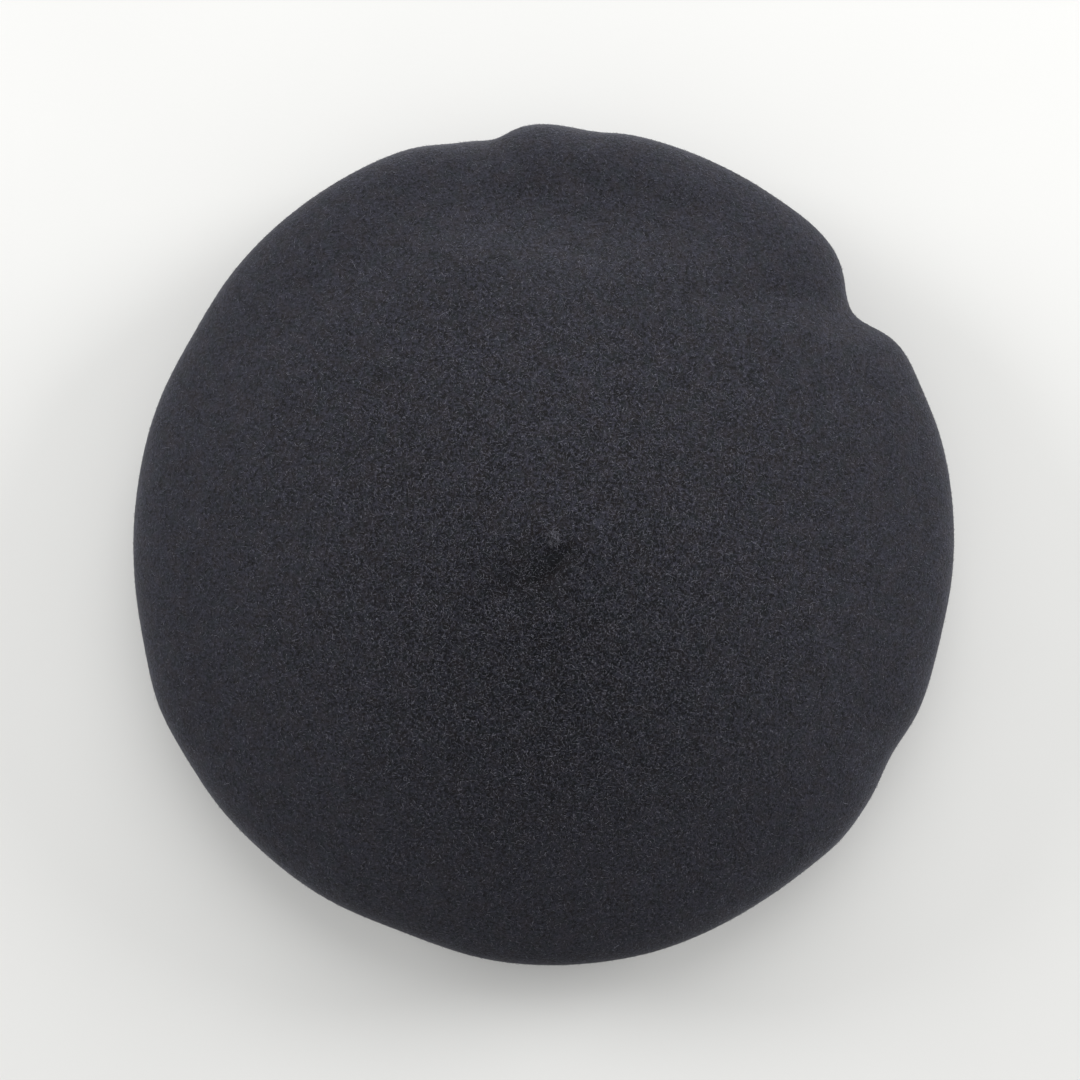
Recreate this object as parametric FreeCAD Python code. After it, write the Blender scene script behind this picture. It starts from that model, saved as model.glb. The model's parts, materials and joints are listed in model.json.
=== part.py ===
import FreeCAD, Part
import math
import os

# Felted wool beret lying flat, opening down: a one-piece felt shell with a leather sweatband,
# a satin lining and blank woven labels inside.
# Origin: on the surface the hat rests on, under the middle of its outline.
# +Z is up through the crown, +Y is the back of the hat, -Y the front.

# Driving dimensions, in millimetres.
HEAD_RADIUS = 90.7
RIM_HALF_WIDTH = 142.5
RIM_HALF_LENGTH = 145.8
FELT_WALL = 2.2
LIP_TOP = 7.0
CROWN_TOP = 58.0

BAND_THICKNESS = 1.2
BAND_BOTTOM = 0.9
BAND_TOP = 25.4
BAND_JOIN_GAP = 0.4
TAPE_THICKNESS = 0.35
SATIN_THICKNESS = 0.4
LAYER_GAP = 0.12

THREAD_RADIUS = 0.2
STITCH_LENGTH = 3.0

CAP_RADIUS = 4.0
NUB_RADIUS = 3.0
NUB_HEIGHT = 1.3
# The middle of the knitting lies a little off the middle of the outline.
CROWN_CENTRE = (2.8, 2.4)
CENTRE_SHIFT_START = 92.0
CENTRE_SHIFT_FULL = 12.0

TIP_RADIUS = 78.0
TIP_EDGE_HEIGHT = 42.2
TIP_SAG_HEIGHT = 40.0

LABEL_WIDTH = 46.0
LABEL_DEPTH = 24.0
LABEL_THICKNESS = 0.5
LABEL_CENTRE_Y = -4.0

# Radii of the layers behind the sweatband, worked outwards from the head.
BAND_OUTER = HEAD_RADIUS + BAND_THICKNESS
TAPE_INNER = BAND_OUTER + LAYER_GAP
HEM_INNER = TAPE_INNER + TAPE_THICKNESS + LAYER_GAP
LIP_INNER = HEM_INNER + SATIN_THICKNESS + LAYER_GAP

# The flat ring that the hat rests on.
RING_INNER = LIP_INNER + 2.7
RING_OUTER = RING_INNER + 2.4

# Where the dents of the outline begin, and where they reach full depth, from the middle outwards.
DENT_START = RING_OUTER + 1.6
DENT_FULL = 141.0
OUTLINE_POINTS = 120

# Dents and bulges round the rim: (direction in degrees from +X, millimetres outwards, half width).
RIM_FOLD = [(37.0, -9.6, 3.9), (24.0, -1.1, 5.0), (50.0, 0.5, 3.0)]
BACK_PLEAT = [(96.8, -2.6, 2.0), (101.5, -2.9, 3.6), (90.5, 0.35, 2.4), (83.0, -1.2, 2.6)]
SOFT_WAVES = [
    (149.0, -1.45, 6.5),
    (203.0, 1.7, 5.0),
    (217.0, 1.0, 6.0),
    (250.0, -2.35, 7.5),
    (286.0, 0.7, 7.0),
    (315.0, 1.0, 3.5),
    (329.0, -2.4, 3.8),
    (346.0, -1.4, 7.0),
]

# Outer face of the felt: control points as (distance from the middle, height).
LIP = [
    (LIP_INNER, LIP_TOP),
    (LIP_INNER, 5.0),
    (LIP_INNER, 2.6),
    (LIP_INNER + 0.35, 0.5),
    (LIP_INNER + 1.5, 0.0),
    (RING_INNER, 0.0),
]
UNDERSIDE = [
    (RING_OUTER, 0.0),
    (RING_OUTER + 1.4, 0.0),
    (RING_OUTER + 4.2, 0.5),
    (108.0, 2.2),
    (116.0, 4.6),
    (124.0, 7.4),
    (131.0, 10.6),
    (137.0, 14.6),
    (RIM_HALF_WIDTH - 1.1, 19.0),
    (RIM_HALF_WIDTH + 0.65, 24.0),
]
CROWN = [
    (RIM_HALF_WIDTH - 0.7, 29.0),
    (138.0, 32.8),
    (132.5, 35.9),
    (126.0, 38.6),
    (118.5, 41.0),
    (110.5, 43.2),
    (102.0, 45.3),
    (92.5, 47.3),
    (81.5, 49.3),
    (68.5, 51.5),
    (54.0, 53.7),
    (38.0, 55.8),
    (22.0, 57.4),
    (10.0, CROWN_TOP),
    (CAP_RADIUS, CROWN_TOP),
]


def export(shape, node):
    shape.exportStep("parts/" + node + ".step")


def bump(angle, centre, half_width):
    away = (angle - centre + 180.0) % 360.0 - 180.0
    return math.exp(-0.5 * (away / half_width) ** 2)


def outline_offset(angle):
    """How far the rim stands outside the circle of RIM_HALF_WIDTH in this direction."""
    longer = RIM_HALF_LENGTH - RIM_HALF_WIDTH
    offset = longer * math.sin(math.radians(angle)) ** 2
    for centre, depth, half_width in RIM_FOLD + BACK_PLEAT + SOFT_WAVES:
        offset += depth * bump(angle, centre, half_width)
    return offset


def smooth_share(value, start, full):
    """0 before start, 1 after full, with a smooth change between."""
    share = (value - start) / (full - start)
    share = min(max(share, 0.0), 1.0)
    return share * share * (3.0 - 2.0 * share)


def moved_inwards(profile, distance):
    """The same control points moved into the felt, square to the face."""
    moved = []
    last = len(profile) - 1
    for index, point in enumerate(profile):
        before = profile[max(index - 1, 0)]
        after = profile[min(index + 1, last)]
        run = after[0] - before[0]
        rise = after[1] - before[1]
        length = math.hypot(run, rise)
        moved.append((point[0] - distance * rise / length, point[1] + distance * run / length))
    return moved


def outline_ring(radius, height, outer_radius):
    """Control points once round the hat; outer_radius says how far out the felt is here."""
    dent = smooth_share(outer_radius, DENT_START, DENT_FULL)
    shift = smooth_share(outer_radius, CENTRE_SHIFT_START, CENTRE_SHIFT_FULL)
    ring_points = []
    for step in range(OUTLINE_POINTS):
        angle = 360.0 * step / OUTLINE_POINTS
        reach = radius + dent * outline_offset(angle)
        x = reach * math.cos(math.radians(angle)) + shift * CROWN_CENTRE[0]
        y = reach * math.sin(math.radians(angle)) + shift * CROWN_CENTRE[1]
        ring_points.append(FreeCAD.Vector(x, y, height))
    return ring_points


def felt_surface(profile, outer_profile):
    """A smooth surface closed round the hat, with one ring of control points per profile point."""
    rings = [outline_ring(r, z, outer[0]) for (r, z), outer in zip(profile, outer_profile)]
    poles = [list(column) for column in zip(*rings)]
    round_knots = list(range(OUTLINE_POINTS + 1))
    along_knots = list(range(len(profile) - 2))
    along_counts = [1] * len(along_knots)
    along_counts[0] = 4
    along_counts[-1] = 4
    surface = Part.BSplineSurface()
    surface.buildFromPolesMultsKnots(
        poles, [1] * len(round_knots), along_counts, round_knots, along_knots, True, False, 3, 3
    )
    return surface


def first_edge(surface):
    return Part.Wire([surface.vIso(surface.bounds()[2]).toShape()])


def last_edge(surface):
    return Part.Wire([surface.vIso(surface.bounds()[3]).toShape()])


def make_felt_body():
    """Turned lip, flat resting ring, underside, rim and crown, all one piece of felt."""
    crown_profile = UNDERSIDE + CROWN
    faces = []
    ends = []
    for thickness in (0.0, FELT_WALL):
        lip = felt_surface(moved_inwards(LIP, thickness), LIP)
        crown = felt_surface(moved_inwards(crown_profile, thickness), crown_profile)
        resting_ring = Part.Face([first_edge(crown), last_edge(lip)])
        cap = Part.Face(last_edge(crown))
        faces += [lip.toShape(), resting_ring, crown.toShape(), cap]
        ends.append(first_edge(lip))
    faces.append(Part.Face([ends[1], ends[0]]))
    shell = Part.makeShell(faces)
    shell.sewShape()
    solid = Part.Solid(shell.Shells[0] if shell.Shells else shell)
    if solid.Volume < 0.0:
        solid.reverse()
    return solid


def revolved(wire):
    face = Part.Face(wire)
    return face.revolve(FreeCAD.Vector(0, 0, 0), FreeCAD.Vector(0, 0, 1), 360.0)


def ring(inner, outer, bottom, top):
    """A plain standing band."""
    wide = Part.makeCylinder(outer, top - bottom, FreeCAD.Vector(0, 0, bottom))
    return wide.cut(Part.makeCylinder(inner, top - bottom, FreeCAD.Vector(0, 0, bottom)))


def smooth_curve(points):
    """A smooth line drawn in the XZ plane by (radius, height) control points."""
    curve = Part.BSplineCurve()
    curve.buildFromPoles([FreeCAD.Vector(r, 0, z) for r, z in points], False, 3)
    return curve


def revolved_sheet(profile, upper_profile):
    """A round sheet between two smooth lines."""
    low = smooth_curve(profile)
    high = smooth_curve(upper_profile)
    outer_end = Part.makeLine(low.EndPoint, high.EndPoint)
    inner_end = Part.makeLine(high.StartPoint, low.StartPoint)
    return revolved(Part.Wire([low.toShape(), outer_end, high.toShape(), inner_end]))


def make_centre_nub():
    """Rounded button of darned wool on the flat middle of the crown: the cap of a ball."""
    ball_radius = (NUB_RADIUS ** 2 + NUB_HEIGHT ** 2) / (2.0 * NUB_HEIGHT)
    foot = FreeCAD.Vector(CROWN_CENTRE[0], CROWN_CENTRE[1], CROWN_TOP)
    ball = Part.makeSphere(ball_radius, foot + FreeCAD.Vector(0, 0, NUB_HEIGHT - ball_radius))
    above = Part.makeCylinder(2.0 * NUB_RADIUS, 2.0 * NUB_HEIGHT, foot)
    return ball.common(above)


SEAM_HEIGHT = 4.2
GROOVE_DEPTH = 0.45
GROOVE_WIDTH = 0.9
JOIN_RECESS_WIDTH = 6.0
JOIN_RECESS_BOTTOM = 6.5
JOIN_RECESS_TOP = 23.8


def make_sweatband():
    """Standing strip of leather, butted at the back, with a sunk line for each row of stitches."""
    band = ring(HEAD_RADIUS, BAND_OUTER, BAND_BOTTOM, BAND_TOP)
    low = SEAM_HEIGHT - 0.5 * GROOVE_WIDTH
    high = SEAM_HEIGHT + 0.5 * GROOVE_WIDTH
    band = band.cut(ring(HEAD_RADIUS - 1.0, HEAD_RADIUS + GROOVE_DEPTH, low, high))
    recess_height = JOIN_RECESS_TOP - JOIN_RECESS_BOTTOM
    corner = FreeCAD.Vector(-0.5 * JOIN_RECESS_WIDTH, HEAD_RADIUS - 3.0, JOIN_RECESS_BOTTOM)
    recess = Part.makeBox(JOIN_RECESS_WIDTH, 3.0 + GROOVE_DEPTH, recess_height, corner)
    band = band.cut(recess)
    corner = FreeCAD.Vector(-0.5 * BAND_JOIN_GAP, HEAD_RADIUS - 3.0, 0.0)
    return band.cut(Part.makeBox(BAND_JOIN_GAP, 6.0, BAND_TOP + 1.0, corner))


def make_edge_tape():
    return ring(TAPE_INNER, TAPE_INNER + TAPE_THICKNESS, BAND_BOTTOM + 0.8, BAND_BOTTOM + 9.8)


def stitch(start, end):
    """One visible length of sewing thread."""
    return Part.makeCylinder(THREAD_RADIUS, (end - start).Length, start, end - start)


def ring_of_stitches(radius, height, count):
    """Stitches end to end round a circle, each laid along it."""
    stitches = []
    half_turn = STITCH_LENGTH / (2.0 * radius)
    for index in range(count):
        middle = 2.0 * math.pi * index / count
        ends = []
        for angle in (middle - half_turn, middle + half_turn):
            ends.append(FreeCAD.Vector(radius * math.cos(angle), radius * math.sin(angle), height))
        stitches.append(stitch(ends[0], ends[1]))
    return Part.makeCompound(stitches)


BAND_STITCHES = 126
TIP_STITCHES = 112
JOIN_STITCHES = 6


def make_band_seam_thread():
    return ring_of_stitches(HEAD_RADIUS + THREAD_RADIUS + 0.04, SEAM_HEIGHT, BAND_STITCHES)


def make_band_join_thread():
    """Zigzag across the butted ends of the leather."""
    depth = HEAD_RADIUS + THREAD_RADIUS + 0.02
    pitch = (JOIN_RECESS_TOP - JOIN_RECESS_BOTTOM - 2.0) / JOIN_STITCHES
    stitches = []
    for index in range(JOIN_STITCHES):
        side = 1.8 if index % 2 else -1.8
        low = JOIN_RECESS_BOTTOM + 1.0 + index * pitch
        start = FreeCAD.Vector(-side, depth, low + 0.3)
        end = FreeCAD.Vector(side, depth, low + pitch - 0.3)
        stitches.append(stitch(start, end))
    return Part.makeCompound(stitches)


def make_lining_tip():
    """Round satin piece that hangs a little slack under the crown."""
    sag = TIP_EDGE_HEIGHT - TIP_SAG_HEIGHT
    profile = [
        (0.0, TIP_SAG_HEIGHT),
        (18.0, TIP_SAG_HEIGHT),
        (34.0, TIP_SAG_HEIGHT + 0.06 * sag),
        (48.0, TIP_SAG_HEIGHT + 0.34 * sag),
        (62.0, TIP_SAG_HEIGHT + 0.7 * sag),
        (TIP_RADIUS, TIP_EDGE_HEIGHT),
    ]
    return revolved_sheet(profile, [(r, z + SATIN_THICKNESS) for r, z in profile])


def make_lining_side():
    """Satin ring from the tip, over the sweatband and down behind it to the seam at the lip."""
    profile = [
        (TIP_RADIUS + 0.2, TIP_EDGE_HEIGHT),
        (85.0, 42.6),
        (94.0, 41.8),
        (103.0, 39.2),
        (110.0, 34.0),
        (113.6, 26.5),
        (111.8, 18.5),
        (105.4, 12.6),
        (98.5, 9.9),
        (LIP_INNER + 1.6, LIP_TOP + 2.2),
        (HEM_INNER + 0.1, LIP_TOP + 1.9),
        (HEM_INNER, LIP_TOP - 0.4),
        (HEM_INNER, 4.6),
        (HEM_INNER, 2.6),
    ]
    return revolved_sheet(profile, moved_inwards(profile, SATIN_THICKNESS))


def make_tip_seam_thread():
    height = TIP_EDGE_HEIGHT - THREAD_RADIUS - 0.22
    return ring_of_stitches(TIP_RADIUS - 1.4, height, TIP_STITCHES)


LABEL_TOP = TIP_SAG_HEIGHT - 0.2
LABEL_STITCH_INSET = 1.6
LABEL_STITCH_PITCH = 4.0


def make_maker_label():
    """Blank woven label under the middle of the tip, with rounded corners."""
    front = LABEL_CENTRE_Y - 0.5 * LABEL_DEPTH
    corner = FreeCAD.Vector(-0.5 * LABEL_WIDTH, front, LABEL_TOP - LABEL_THICKNESS)
    plate = Part.makeBox(LABEL_WIDTH, LABEL_DEPTH, LABEL_THICKNESS, corner)
    upright = [edge for edge in plate.Edges if abs(edge.tangentAt(edge.FirstParameter).z) > 0.9]
    return plate.makeFillet(1.5, upright)


def make_maker_label_thread():
    """Stitches round the label, one side after another."""
    height = LABEL_TOP - LABEL_THICKNESS - THREAD_RADIUS - 0.02
    half_width = 0.5 * LABEL_WIDTH - LABEL_STITCH_INSET
    half_depth = 0.5 * LABEL_DEPTH - LABEL_STITCH_INSET
    corners = [
        (-half_width, -half_depth),
        (half_width, -half_depth),
        (half_width, half_depth),
        (-half_width, half_depth),
    ]
    stitches = []
    for index, (x, y) in enumerate(corners):
        start = FreeCAD.Vector(x, LABEL_CENTRE_Y + y, height)
        next_x, next_y = corners[(index + 1) % 4]
        side = FreeCAD.Vector(next_x, LABEL_CENTRE_Y + next_y, height) - start
        count = round(side.Length / LABEL_STITCH_PITCH)
        pitch = side.Length / count
        direction = side.normalize()
        for place in range(count):
            near = start + direction * (place * pitch + 0.5)
            stitches.append(stitch(near, near + direction * (pitch - 1.0)))
    return Part.makeCompound(stitches)


HINGE_Y = 75.0
HINGE_HEIGHT = 40.6
FLAP_THICKNESS = 0.22
FLAP_OPENING = 0.5
CARE_LABEL_SIZE = (24.0, 14.6)
CARE_LABEL_X = -7.0
SIZE_TAB_SIZE = (10.0, 13.4)
SIZE_TAB_X = 13.5


def folded_flap(centre_x, width, length):
    """Satin ribbon folded in two and hanging from its cut ends."""
    inner = 0.5 * FLAP_OPENING
    outer = inner + FLAP_THICKNESS
    top = HINGE_HEIGHT
    fold = top - length + outer
    left = centre_x - 0.5 * width

    def at(y, z):
        return FreeCAD.Vector(left, HINGE_Y + y, z)

    def loop_edges(reach):
        down = Part.makeLine(at(-reach, top), at(-reach, fold))
        bend = Part.Arc(at(-reach, fold), at(0, fold - reach), at(reach, fold)).toShape()
        up = Part.makeLine(at(reach, fold), at(reach, top))
        return [down, bend, up]

    outside = loop_edges(outer)
    inside = loop_edges(inner)
    near_end = Part.makeLine(at(-outer, top), at(-inner, top))
    far_end = Part.makeLine(at(inner, top), at(outer, top))
    outline = Part.Wire(Part.__sortEdges__(outside + inside + [near_end, far_end]))
    return Part.Face(outline).extrude(FreeCAD.Vector(width, 0, 0))


def make_care_label():
    return folded_flap(CARE_LABEL_X, CARE_LABEL_SIZE[0], CARE_LABEL_SIZE[1])


def make_size_tab():
    return folded_flap(SIZE_TAB_X, SIZE_TAB_SIZE[0], SIZE_TAB_SIZE[1])


os.makedirs("parts", exist_ok=True)
export(make_felt_body(), "felt_body")
export(make_centre_nub(), "centre_nub")
export(make_sweatband(), "sweatband")
export(make_edge_tape(), "edge_tape")
export(make_band_seam_thread(), "band_seam_thread")
export(make_band_join_thread(), "band_join_thread")
export(make_lining_tip(), "lining_tip")
export(make_lining_side(), "lining_side")
export(make_tip_seam_thread(), "tip_seam_thread")
export(make_maker_label(), "maker_label")
export(make_maker_label_thread(), "maker_label_thread")
export(make_size_tab(), "size_tab")
export(make_care_label(), "care_label")
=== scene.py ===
import json
import math
import random

import bmesh
import bpy
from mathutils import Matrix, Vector


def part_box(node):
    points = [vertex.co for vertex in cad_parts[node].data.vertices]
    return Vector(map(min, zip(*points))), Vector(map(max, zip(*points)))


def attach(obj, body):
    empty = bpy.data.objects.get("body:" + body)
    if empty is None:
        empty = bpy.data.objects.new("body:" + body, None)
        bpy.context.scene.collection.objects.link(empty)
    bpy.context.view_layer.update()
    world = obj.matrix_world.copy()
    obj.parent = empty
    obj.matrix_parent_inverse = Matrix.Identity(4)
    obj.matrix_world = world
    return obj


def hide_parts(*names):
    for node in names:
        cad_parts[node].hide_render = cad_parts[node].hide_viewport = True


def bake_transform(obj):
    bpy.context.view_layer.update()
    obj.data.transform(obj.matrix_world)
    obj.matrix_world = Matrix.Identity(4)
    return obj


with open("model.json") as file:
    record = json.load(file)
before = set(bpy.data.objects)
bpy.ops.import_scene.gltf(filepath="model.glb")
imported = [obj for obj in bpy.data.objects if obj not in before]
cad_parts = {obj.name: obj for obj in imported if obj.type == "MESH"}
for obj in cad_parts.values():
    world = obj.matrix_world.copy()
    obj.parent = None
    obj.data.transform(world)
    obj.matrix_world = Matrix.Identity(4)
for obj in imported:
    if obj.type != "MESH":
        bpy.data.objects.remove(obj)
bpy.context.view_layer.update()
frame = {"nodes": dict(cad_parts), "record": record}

MM = 0.001


# ---- Felt body -------------------------------------------------------------------------------
# One piece of knitted wool, shrunk into thick black felt and pressed on a round block. Its edge
# turns up into the opening as a short lip. It lies slack, so its rim is folded in a few places.


class Sum:
    """A number inside a node tree, so that arithmetic on it reads as ordinary Python."""

    def __init__(self, recipe, socket):
        self.recipe = recipe
        self.socket = socket

    def maths(self, operation, *values):
        return self.recipe.number("ShaderNodeMath", {"operation": operation}, dict(enumerate(values)))

    def __add__(self, other):
        return self.maths("ADD", self, other)

    __radd__ = __add__

    def __sub__(self, other):
        return self.maths("SUBTRACT", self, other)

    def __rsub__(self, other):
        return self.maths("SUBTRACT", other, self)

    def __mul__(self, other):
        return self.maths("MULTIPLY", self, other)

    __rmul__ = __mul__

    def __truediv__(self, other):
        return self.maths("DIVIDE", self, other)

    def __pow__(self, power):
        return self.maths("POWER", self, power)

    def sine(self):
        return self.maths("SINE", self)

    def cosine(self):
        return self.maths("COSINE", self)

    def clamped(self):
        return self.recipe.number("ShaderNodeClamp", {}, {0: self})

    def bell(self, centre, half_width):
        """1 at centre, falling away smoothly on both sides."""
        away = (self - centre) / half_width
        return self.maths("EXPONENT", away * away * -0.5)

    def ramp(self, start, full):
        """0 at start, 1 at full, smooth between."""
        settings = {"interpolation_type": "SMOOTHSTEP"}
        return self.recipe.number("ShaderNodeMapRange", settings, {0: self, 1: start, 2: full})

    def ribs(self, pitch):
        """Even ribs between 0 and 1, one every pitch metres."""
        return (self * (math.tau / pitch)).sine() * 0.5 + 0.5


class Recipe:
    """Builds one node tree. Each call adds a node: its type, its settings, then its inputs."""

    def __init__(self, tree):
        self.tree = tree

    def node(self, kind, settings=None, inputs=None):
        made = self.tree.nodes.new(kind)
        for name, value in (settings or {}).items():
            setattr(made, name, value)
        for key, value in (inputs or {}).items():
            value = value.socket if isinstance(value, Sum) else value
            if isinstance(value, bpy.types.NodeSocket):
                self.tree.links.new(value, made.inputs[key])
            else:
                made.inputs[key].default_value = value
        return made

    def number(self, kind, settings=None, inputs=None):
        return Sum(self, self.node(kind, settings, inputs).outputs[0])

    def parts(self, vector):
        """The three parts of a vector, as numbers."""
        split = self.node("ShaderNodeSeparateXYZ", {}, {0: vector})
        return [Sum(self, part) for part in split.outputs]

    def vector(self, *parts):
        """A vector made of three numbers."""
        return self.node("ShaderNodeCombineXYZ", {}, dict(enumerate(parts))).outputs[0]

    def vector_maths(self, operation, inputs, output=0):
        return self.node("ShaderNodeVectorMath", {"operation": operation}, inputs).outputs[output]

    def blend(self, share, first, second):
        """A colour between two colours."""
        made = self.node("ShaderNodeMix", {"data_type": "RGBA"}, {0: share, 6: first, 7: second})
        return made.outputs[2]


class Finish(Recipe):
    """The node tree of one material, on the piece's own coordinates in metres."""

    def __init__(self, name):
        self.material = bpy.data.materials.new(name)
        self.material.use_nodes = True
        super().__init__(self.material.node_tree)
        self.tree.nodes.clear()
        coordinates = self.node("ShaderNodeTexCoord")
        self.place = coordinates.outputs["Object"]
        self.cloth = coordinates.outputs["UV"]

    def noise(self, grain, place=None, detail=2.0, roughness=0.5):
        """Random cloudiness whose lumps are about grain metres wide."""
        return self.number("ShaderNodeTexNoise", {}, {
            "Vector": place or self.place, "Scale": 1.0 / grain,
            "Detail": detail, "Roughness": roughness,
        })

    def relief(self, height, depth, strength=1.0):
        """Surface relief from a height of 0 to 1, depth metres deep."""
        inputs = {"Height": height, "Distance": depth, "Strength": strength}
        return self.node("ShaderNodeBump", {}, inputs).outputs[0]

    def surface(self, colour, roughness, normal, **same_everywhere):
        """Joins the shader to what varies, then sets what is the same all over."""
        inputs = {"Base Color": colour, "Roughness": roughness, "Normal": normal}
        shader = self.node("ShaderNodeBsdfPrincipled", {}, inputs)
        for name, value in same_everywhere.items():
            shader.inputs[name.replace("_", " ").title().replace("Ior", "IOR")].default_value = value
        self.node("ShaderNodeOutputMaterial", {}, {"Surface": shader.outputs[0]})
        return self.material


crown_centre = (2.8 * MM, 2.4 * MM)
nap_lean = 0.30
# The short crease beside the middle: where it is, in millimetres, and its direction in degrees.
middle_crease = (3.4, -6.8, 236)


def black_felt(name):
    """Black wool felt: matted fibres lying outwards from the middle, brushed smoother at the rim;
    painted sheen and shade.
    """
    felt = Finish(name)
    x, y, _ = felt.parts(felt.place)
    from_middle = ((x - crown_centre[0]) ** 2 + (y - crown_centre[1]) ** 2 + (5 * MM) ** 2) ** 0.5
    brushed_and_painted_sheen = from_middle.ramp(20 * MM, 142 * MM)
    speck = felt.noise(1.1 * MM, detail=3.0, roughness=0.68)
    hairs = felt.noise(0.6 * MM, detail=1.0)
    patches = felt.noise(7 * MM, detail=3.0, roughness=0.6)
    contrast = 1.0 - brushed_and_painted_sheen * 0.5
    grain = ((speck - 0.5) * 4.4 + (hairs - 0.5) * 2.2) * contrast
    # Painted sheen: the felt's colour grows lighter towards the rim and stays darker in the middle,
    # standing in for the light the sloping rim catches.
    light = (grain + (patches - 0.5) * 0.5 + brushed_and_painted_sheen * 0.19 + 0.265).clamped()
    # Painted shade: the colour is darkened in a patch below and left of the middle and along the short
    # crease beside it, where shade falls.
    painted_shade = (x + 5 * MM).bell(0.0, 9 * MM) * (y + 10.5 * MM).bell(0.0, 6 * MM) * 0.5
    crease_x = x - middle_crease[0] * MM
    crease_y = y - middle_crease[1] * MM
    crease_turn = math.radians(middle_crease[2])
    down_crease = crease_x * math.cos(crease_turn) + crease_y * math.sin(crease_turn)
    over_crease = crease_y * math.cos(crease_turn) - crease_x * math.sin(crease_turn)
    painted_crease_shade = down_crease.bell(0.0, 6 * MM) * over_crease.bell(0.0, 2.4 * MM) * 0.55
    painted_shade = (painted_shade + painted_crease_shade).clamped()
    wool = felt.blend(light * (1.0 - painted_shade), (0.002, 0.002, 0.0025, 1.0), (0.030, 0.030, 0.044, 1.0))
    warm = felt.noise(5 * MM, detail=2.0).ramp(0.42, 0.66)
    turned = felt.node("ShaderNodeVectorRotate", {"rotation_type": "X_AXIS"}, {
        "Vector": felt.place, "Angle": 2.0,
    }).outputs[0]
    cool = felt.noise(4 * MM, place=turned, detail=2.0).ramp(0.45, 0.7)
    wool = felt.blend(warm * 0.22, wool, (0.024, 0.018, 0.018, 1.0))
    wool = felt.blend(cool * 0.22, wool, (0.012, 0.019, 0.020, 1.0))
    relief_depth = 0.5 * MM
    brushed_flat = from_middle.maths("SMOOTH_MIN", from_middle, 118 * MM, 40 * MM)
    lying_outwards = brushed_flat * (-nap_lean / relief_depth)
    height = speck * 0.6 + hairs * 0.3 + patches * 0.6 + lying_outwards
    return felt.surface(
        wool, 0.86 + (speck - 0.5) * 0.14, felt.relief(height, relief_depth), specular_ior_level=0.12,
        sheen_weight=0.15, sheen_roughness=0.5, sheen_tint=(0.88, 0.90, 1.0, 1.0),
    )


def placed(name, data):
    """A new object in the scene that holds this mesh, curve, lamp or camera."""
    made = bpy.data.objects.new(name, data)
    bpy.context.collection.objects.link(made)
    return made


def settled_mesh(built):
    """The evaluated shape of an object as a plain mesh."""
    bpy.context.view_layer.update()
    settled = built.evaluated_get(bpy.context.evaluated_depsgraph_get())
    return bpy.data.meshes.new_from_object(settled)


def finished(built, name, material=None):
    """The evaluated shape of an object as a plain mesh piece; the object it came from goes."""
    mesh = settled_mesh(built)
    mesh.name = name
    piece = placed(name, mesh)
    bpy.data.objects.remove(built)
    if material:
        mesh.materials.clear()
        mesh.materials.append(material)
    return piece


def new_curve(name, steps, half_thickness=0.0):
    """A curve with no lines yet. Given a thickness, its lines come out as round threads."""
    curve = bpy.data.curves.new(name, "CURVE")
    curve.dimensions = "3D"
    curve.resolution_u = steps
    curve.bevel_depth = half_thickness
    curve.bevel_resolution = 2
    curve.use_fill_caps = True
    return curve


def add_line(curve, points, order=4, cyclic=False, kind="NURBS"):
    """One more line in the curve, which starts and ends at its end points unless it is a ring."""
    spline = curve.splines.new(kind)
    spline.points.add(len(points) - 1)
    for point, place in zip(spline.points, points):
        point.co = (*place, 1.0)
    spline.order_u = order
    spline.use_cyclic_u = cyclic
    spline.use_endpoint_u = not cyclic


def guide_curve(name, points, cyclic=False):
    """A smooth line through space that a tree reads; it is removed once the piece is made."""
    curve = new_curve(name, 16)
    add_line(curve, points, cyclic=cyclic)
    return placed(name, curve)


def new_tree(name, inputs):
    """An empty geometry tree with named inputs, and its recipe and input sockets."""
    tree = bpy.data.node_groups.new(name, "GeometryNodeTree")
    tree.is_modifier = True
    for label, kind in inputs.items():
        tree.interface.new_socket(label, in_out="INPUT", socket_type="NodeSocket" + kind)
    tree.interface.new_socket("Geometry", in_out="OUTPUT", socket_type="NodeSocketGeometry")
    recipe = Recipe(tree)
    entry = recipe.node("NodeGroupInput")
    return tree, recipe, {label: Sum(recipe, entry.outputs[label]) for label in inputs}


def end_tree(recipe, geometry, material):
    """Real geometry, smooth shading and one material, then the output."""
    real = recipe.node("GeometryNodeRealizeInstances", {}, {"Geometry": geometry}).outputs[0]
    smooth = recipe.node("GeometryNodeSetShadeSmooth", {}, {"Geometry": real}).outputs[0]
    painted = recipe.node("GeometryNodeSetMaterial", {}, {"Geometry": smooth, "Material": material})
    recipe.node("NodeGroupOutput", {}, {"Geometry": painted.outputs[0]})


def laid(recipe, axes, first, second, wander, seed):
    """A turn that lays one axis along first and one towards second, then wanders by chance."""
    settings = {"primary_axis": axes[0], "secondary_axis": axes[1]}
    lying = recipe.node("FunctionNodeAxesToRotation", settings, {0: first, 1: second})
    chance = recipe.node("FunctionNodeRandomValue", {"data_type": "FLOAT_VECTOR"}, {
        "Min": [-angle for angle in wander], "Max": wander, "Seed": seed,
    })
    turn = recipe.node("FunctionNodeEulerToRotation", {}, {0: chance.outputs[0]})
    return recipe.node("FunctionNodeRotateRotation", {"rotation_space": "LOCAL"}, {
        "Rotation": lying.outputs[0], "Rotate By": turn.outputs[0],
    }).outputs[0]


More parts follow.
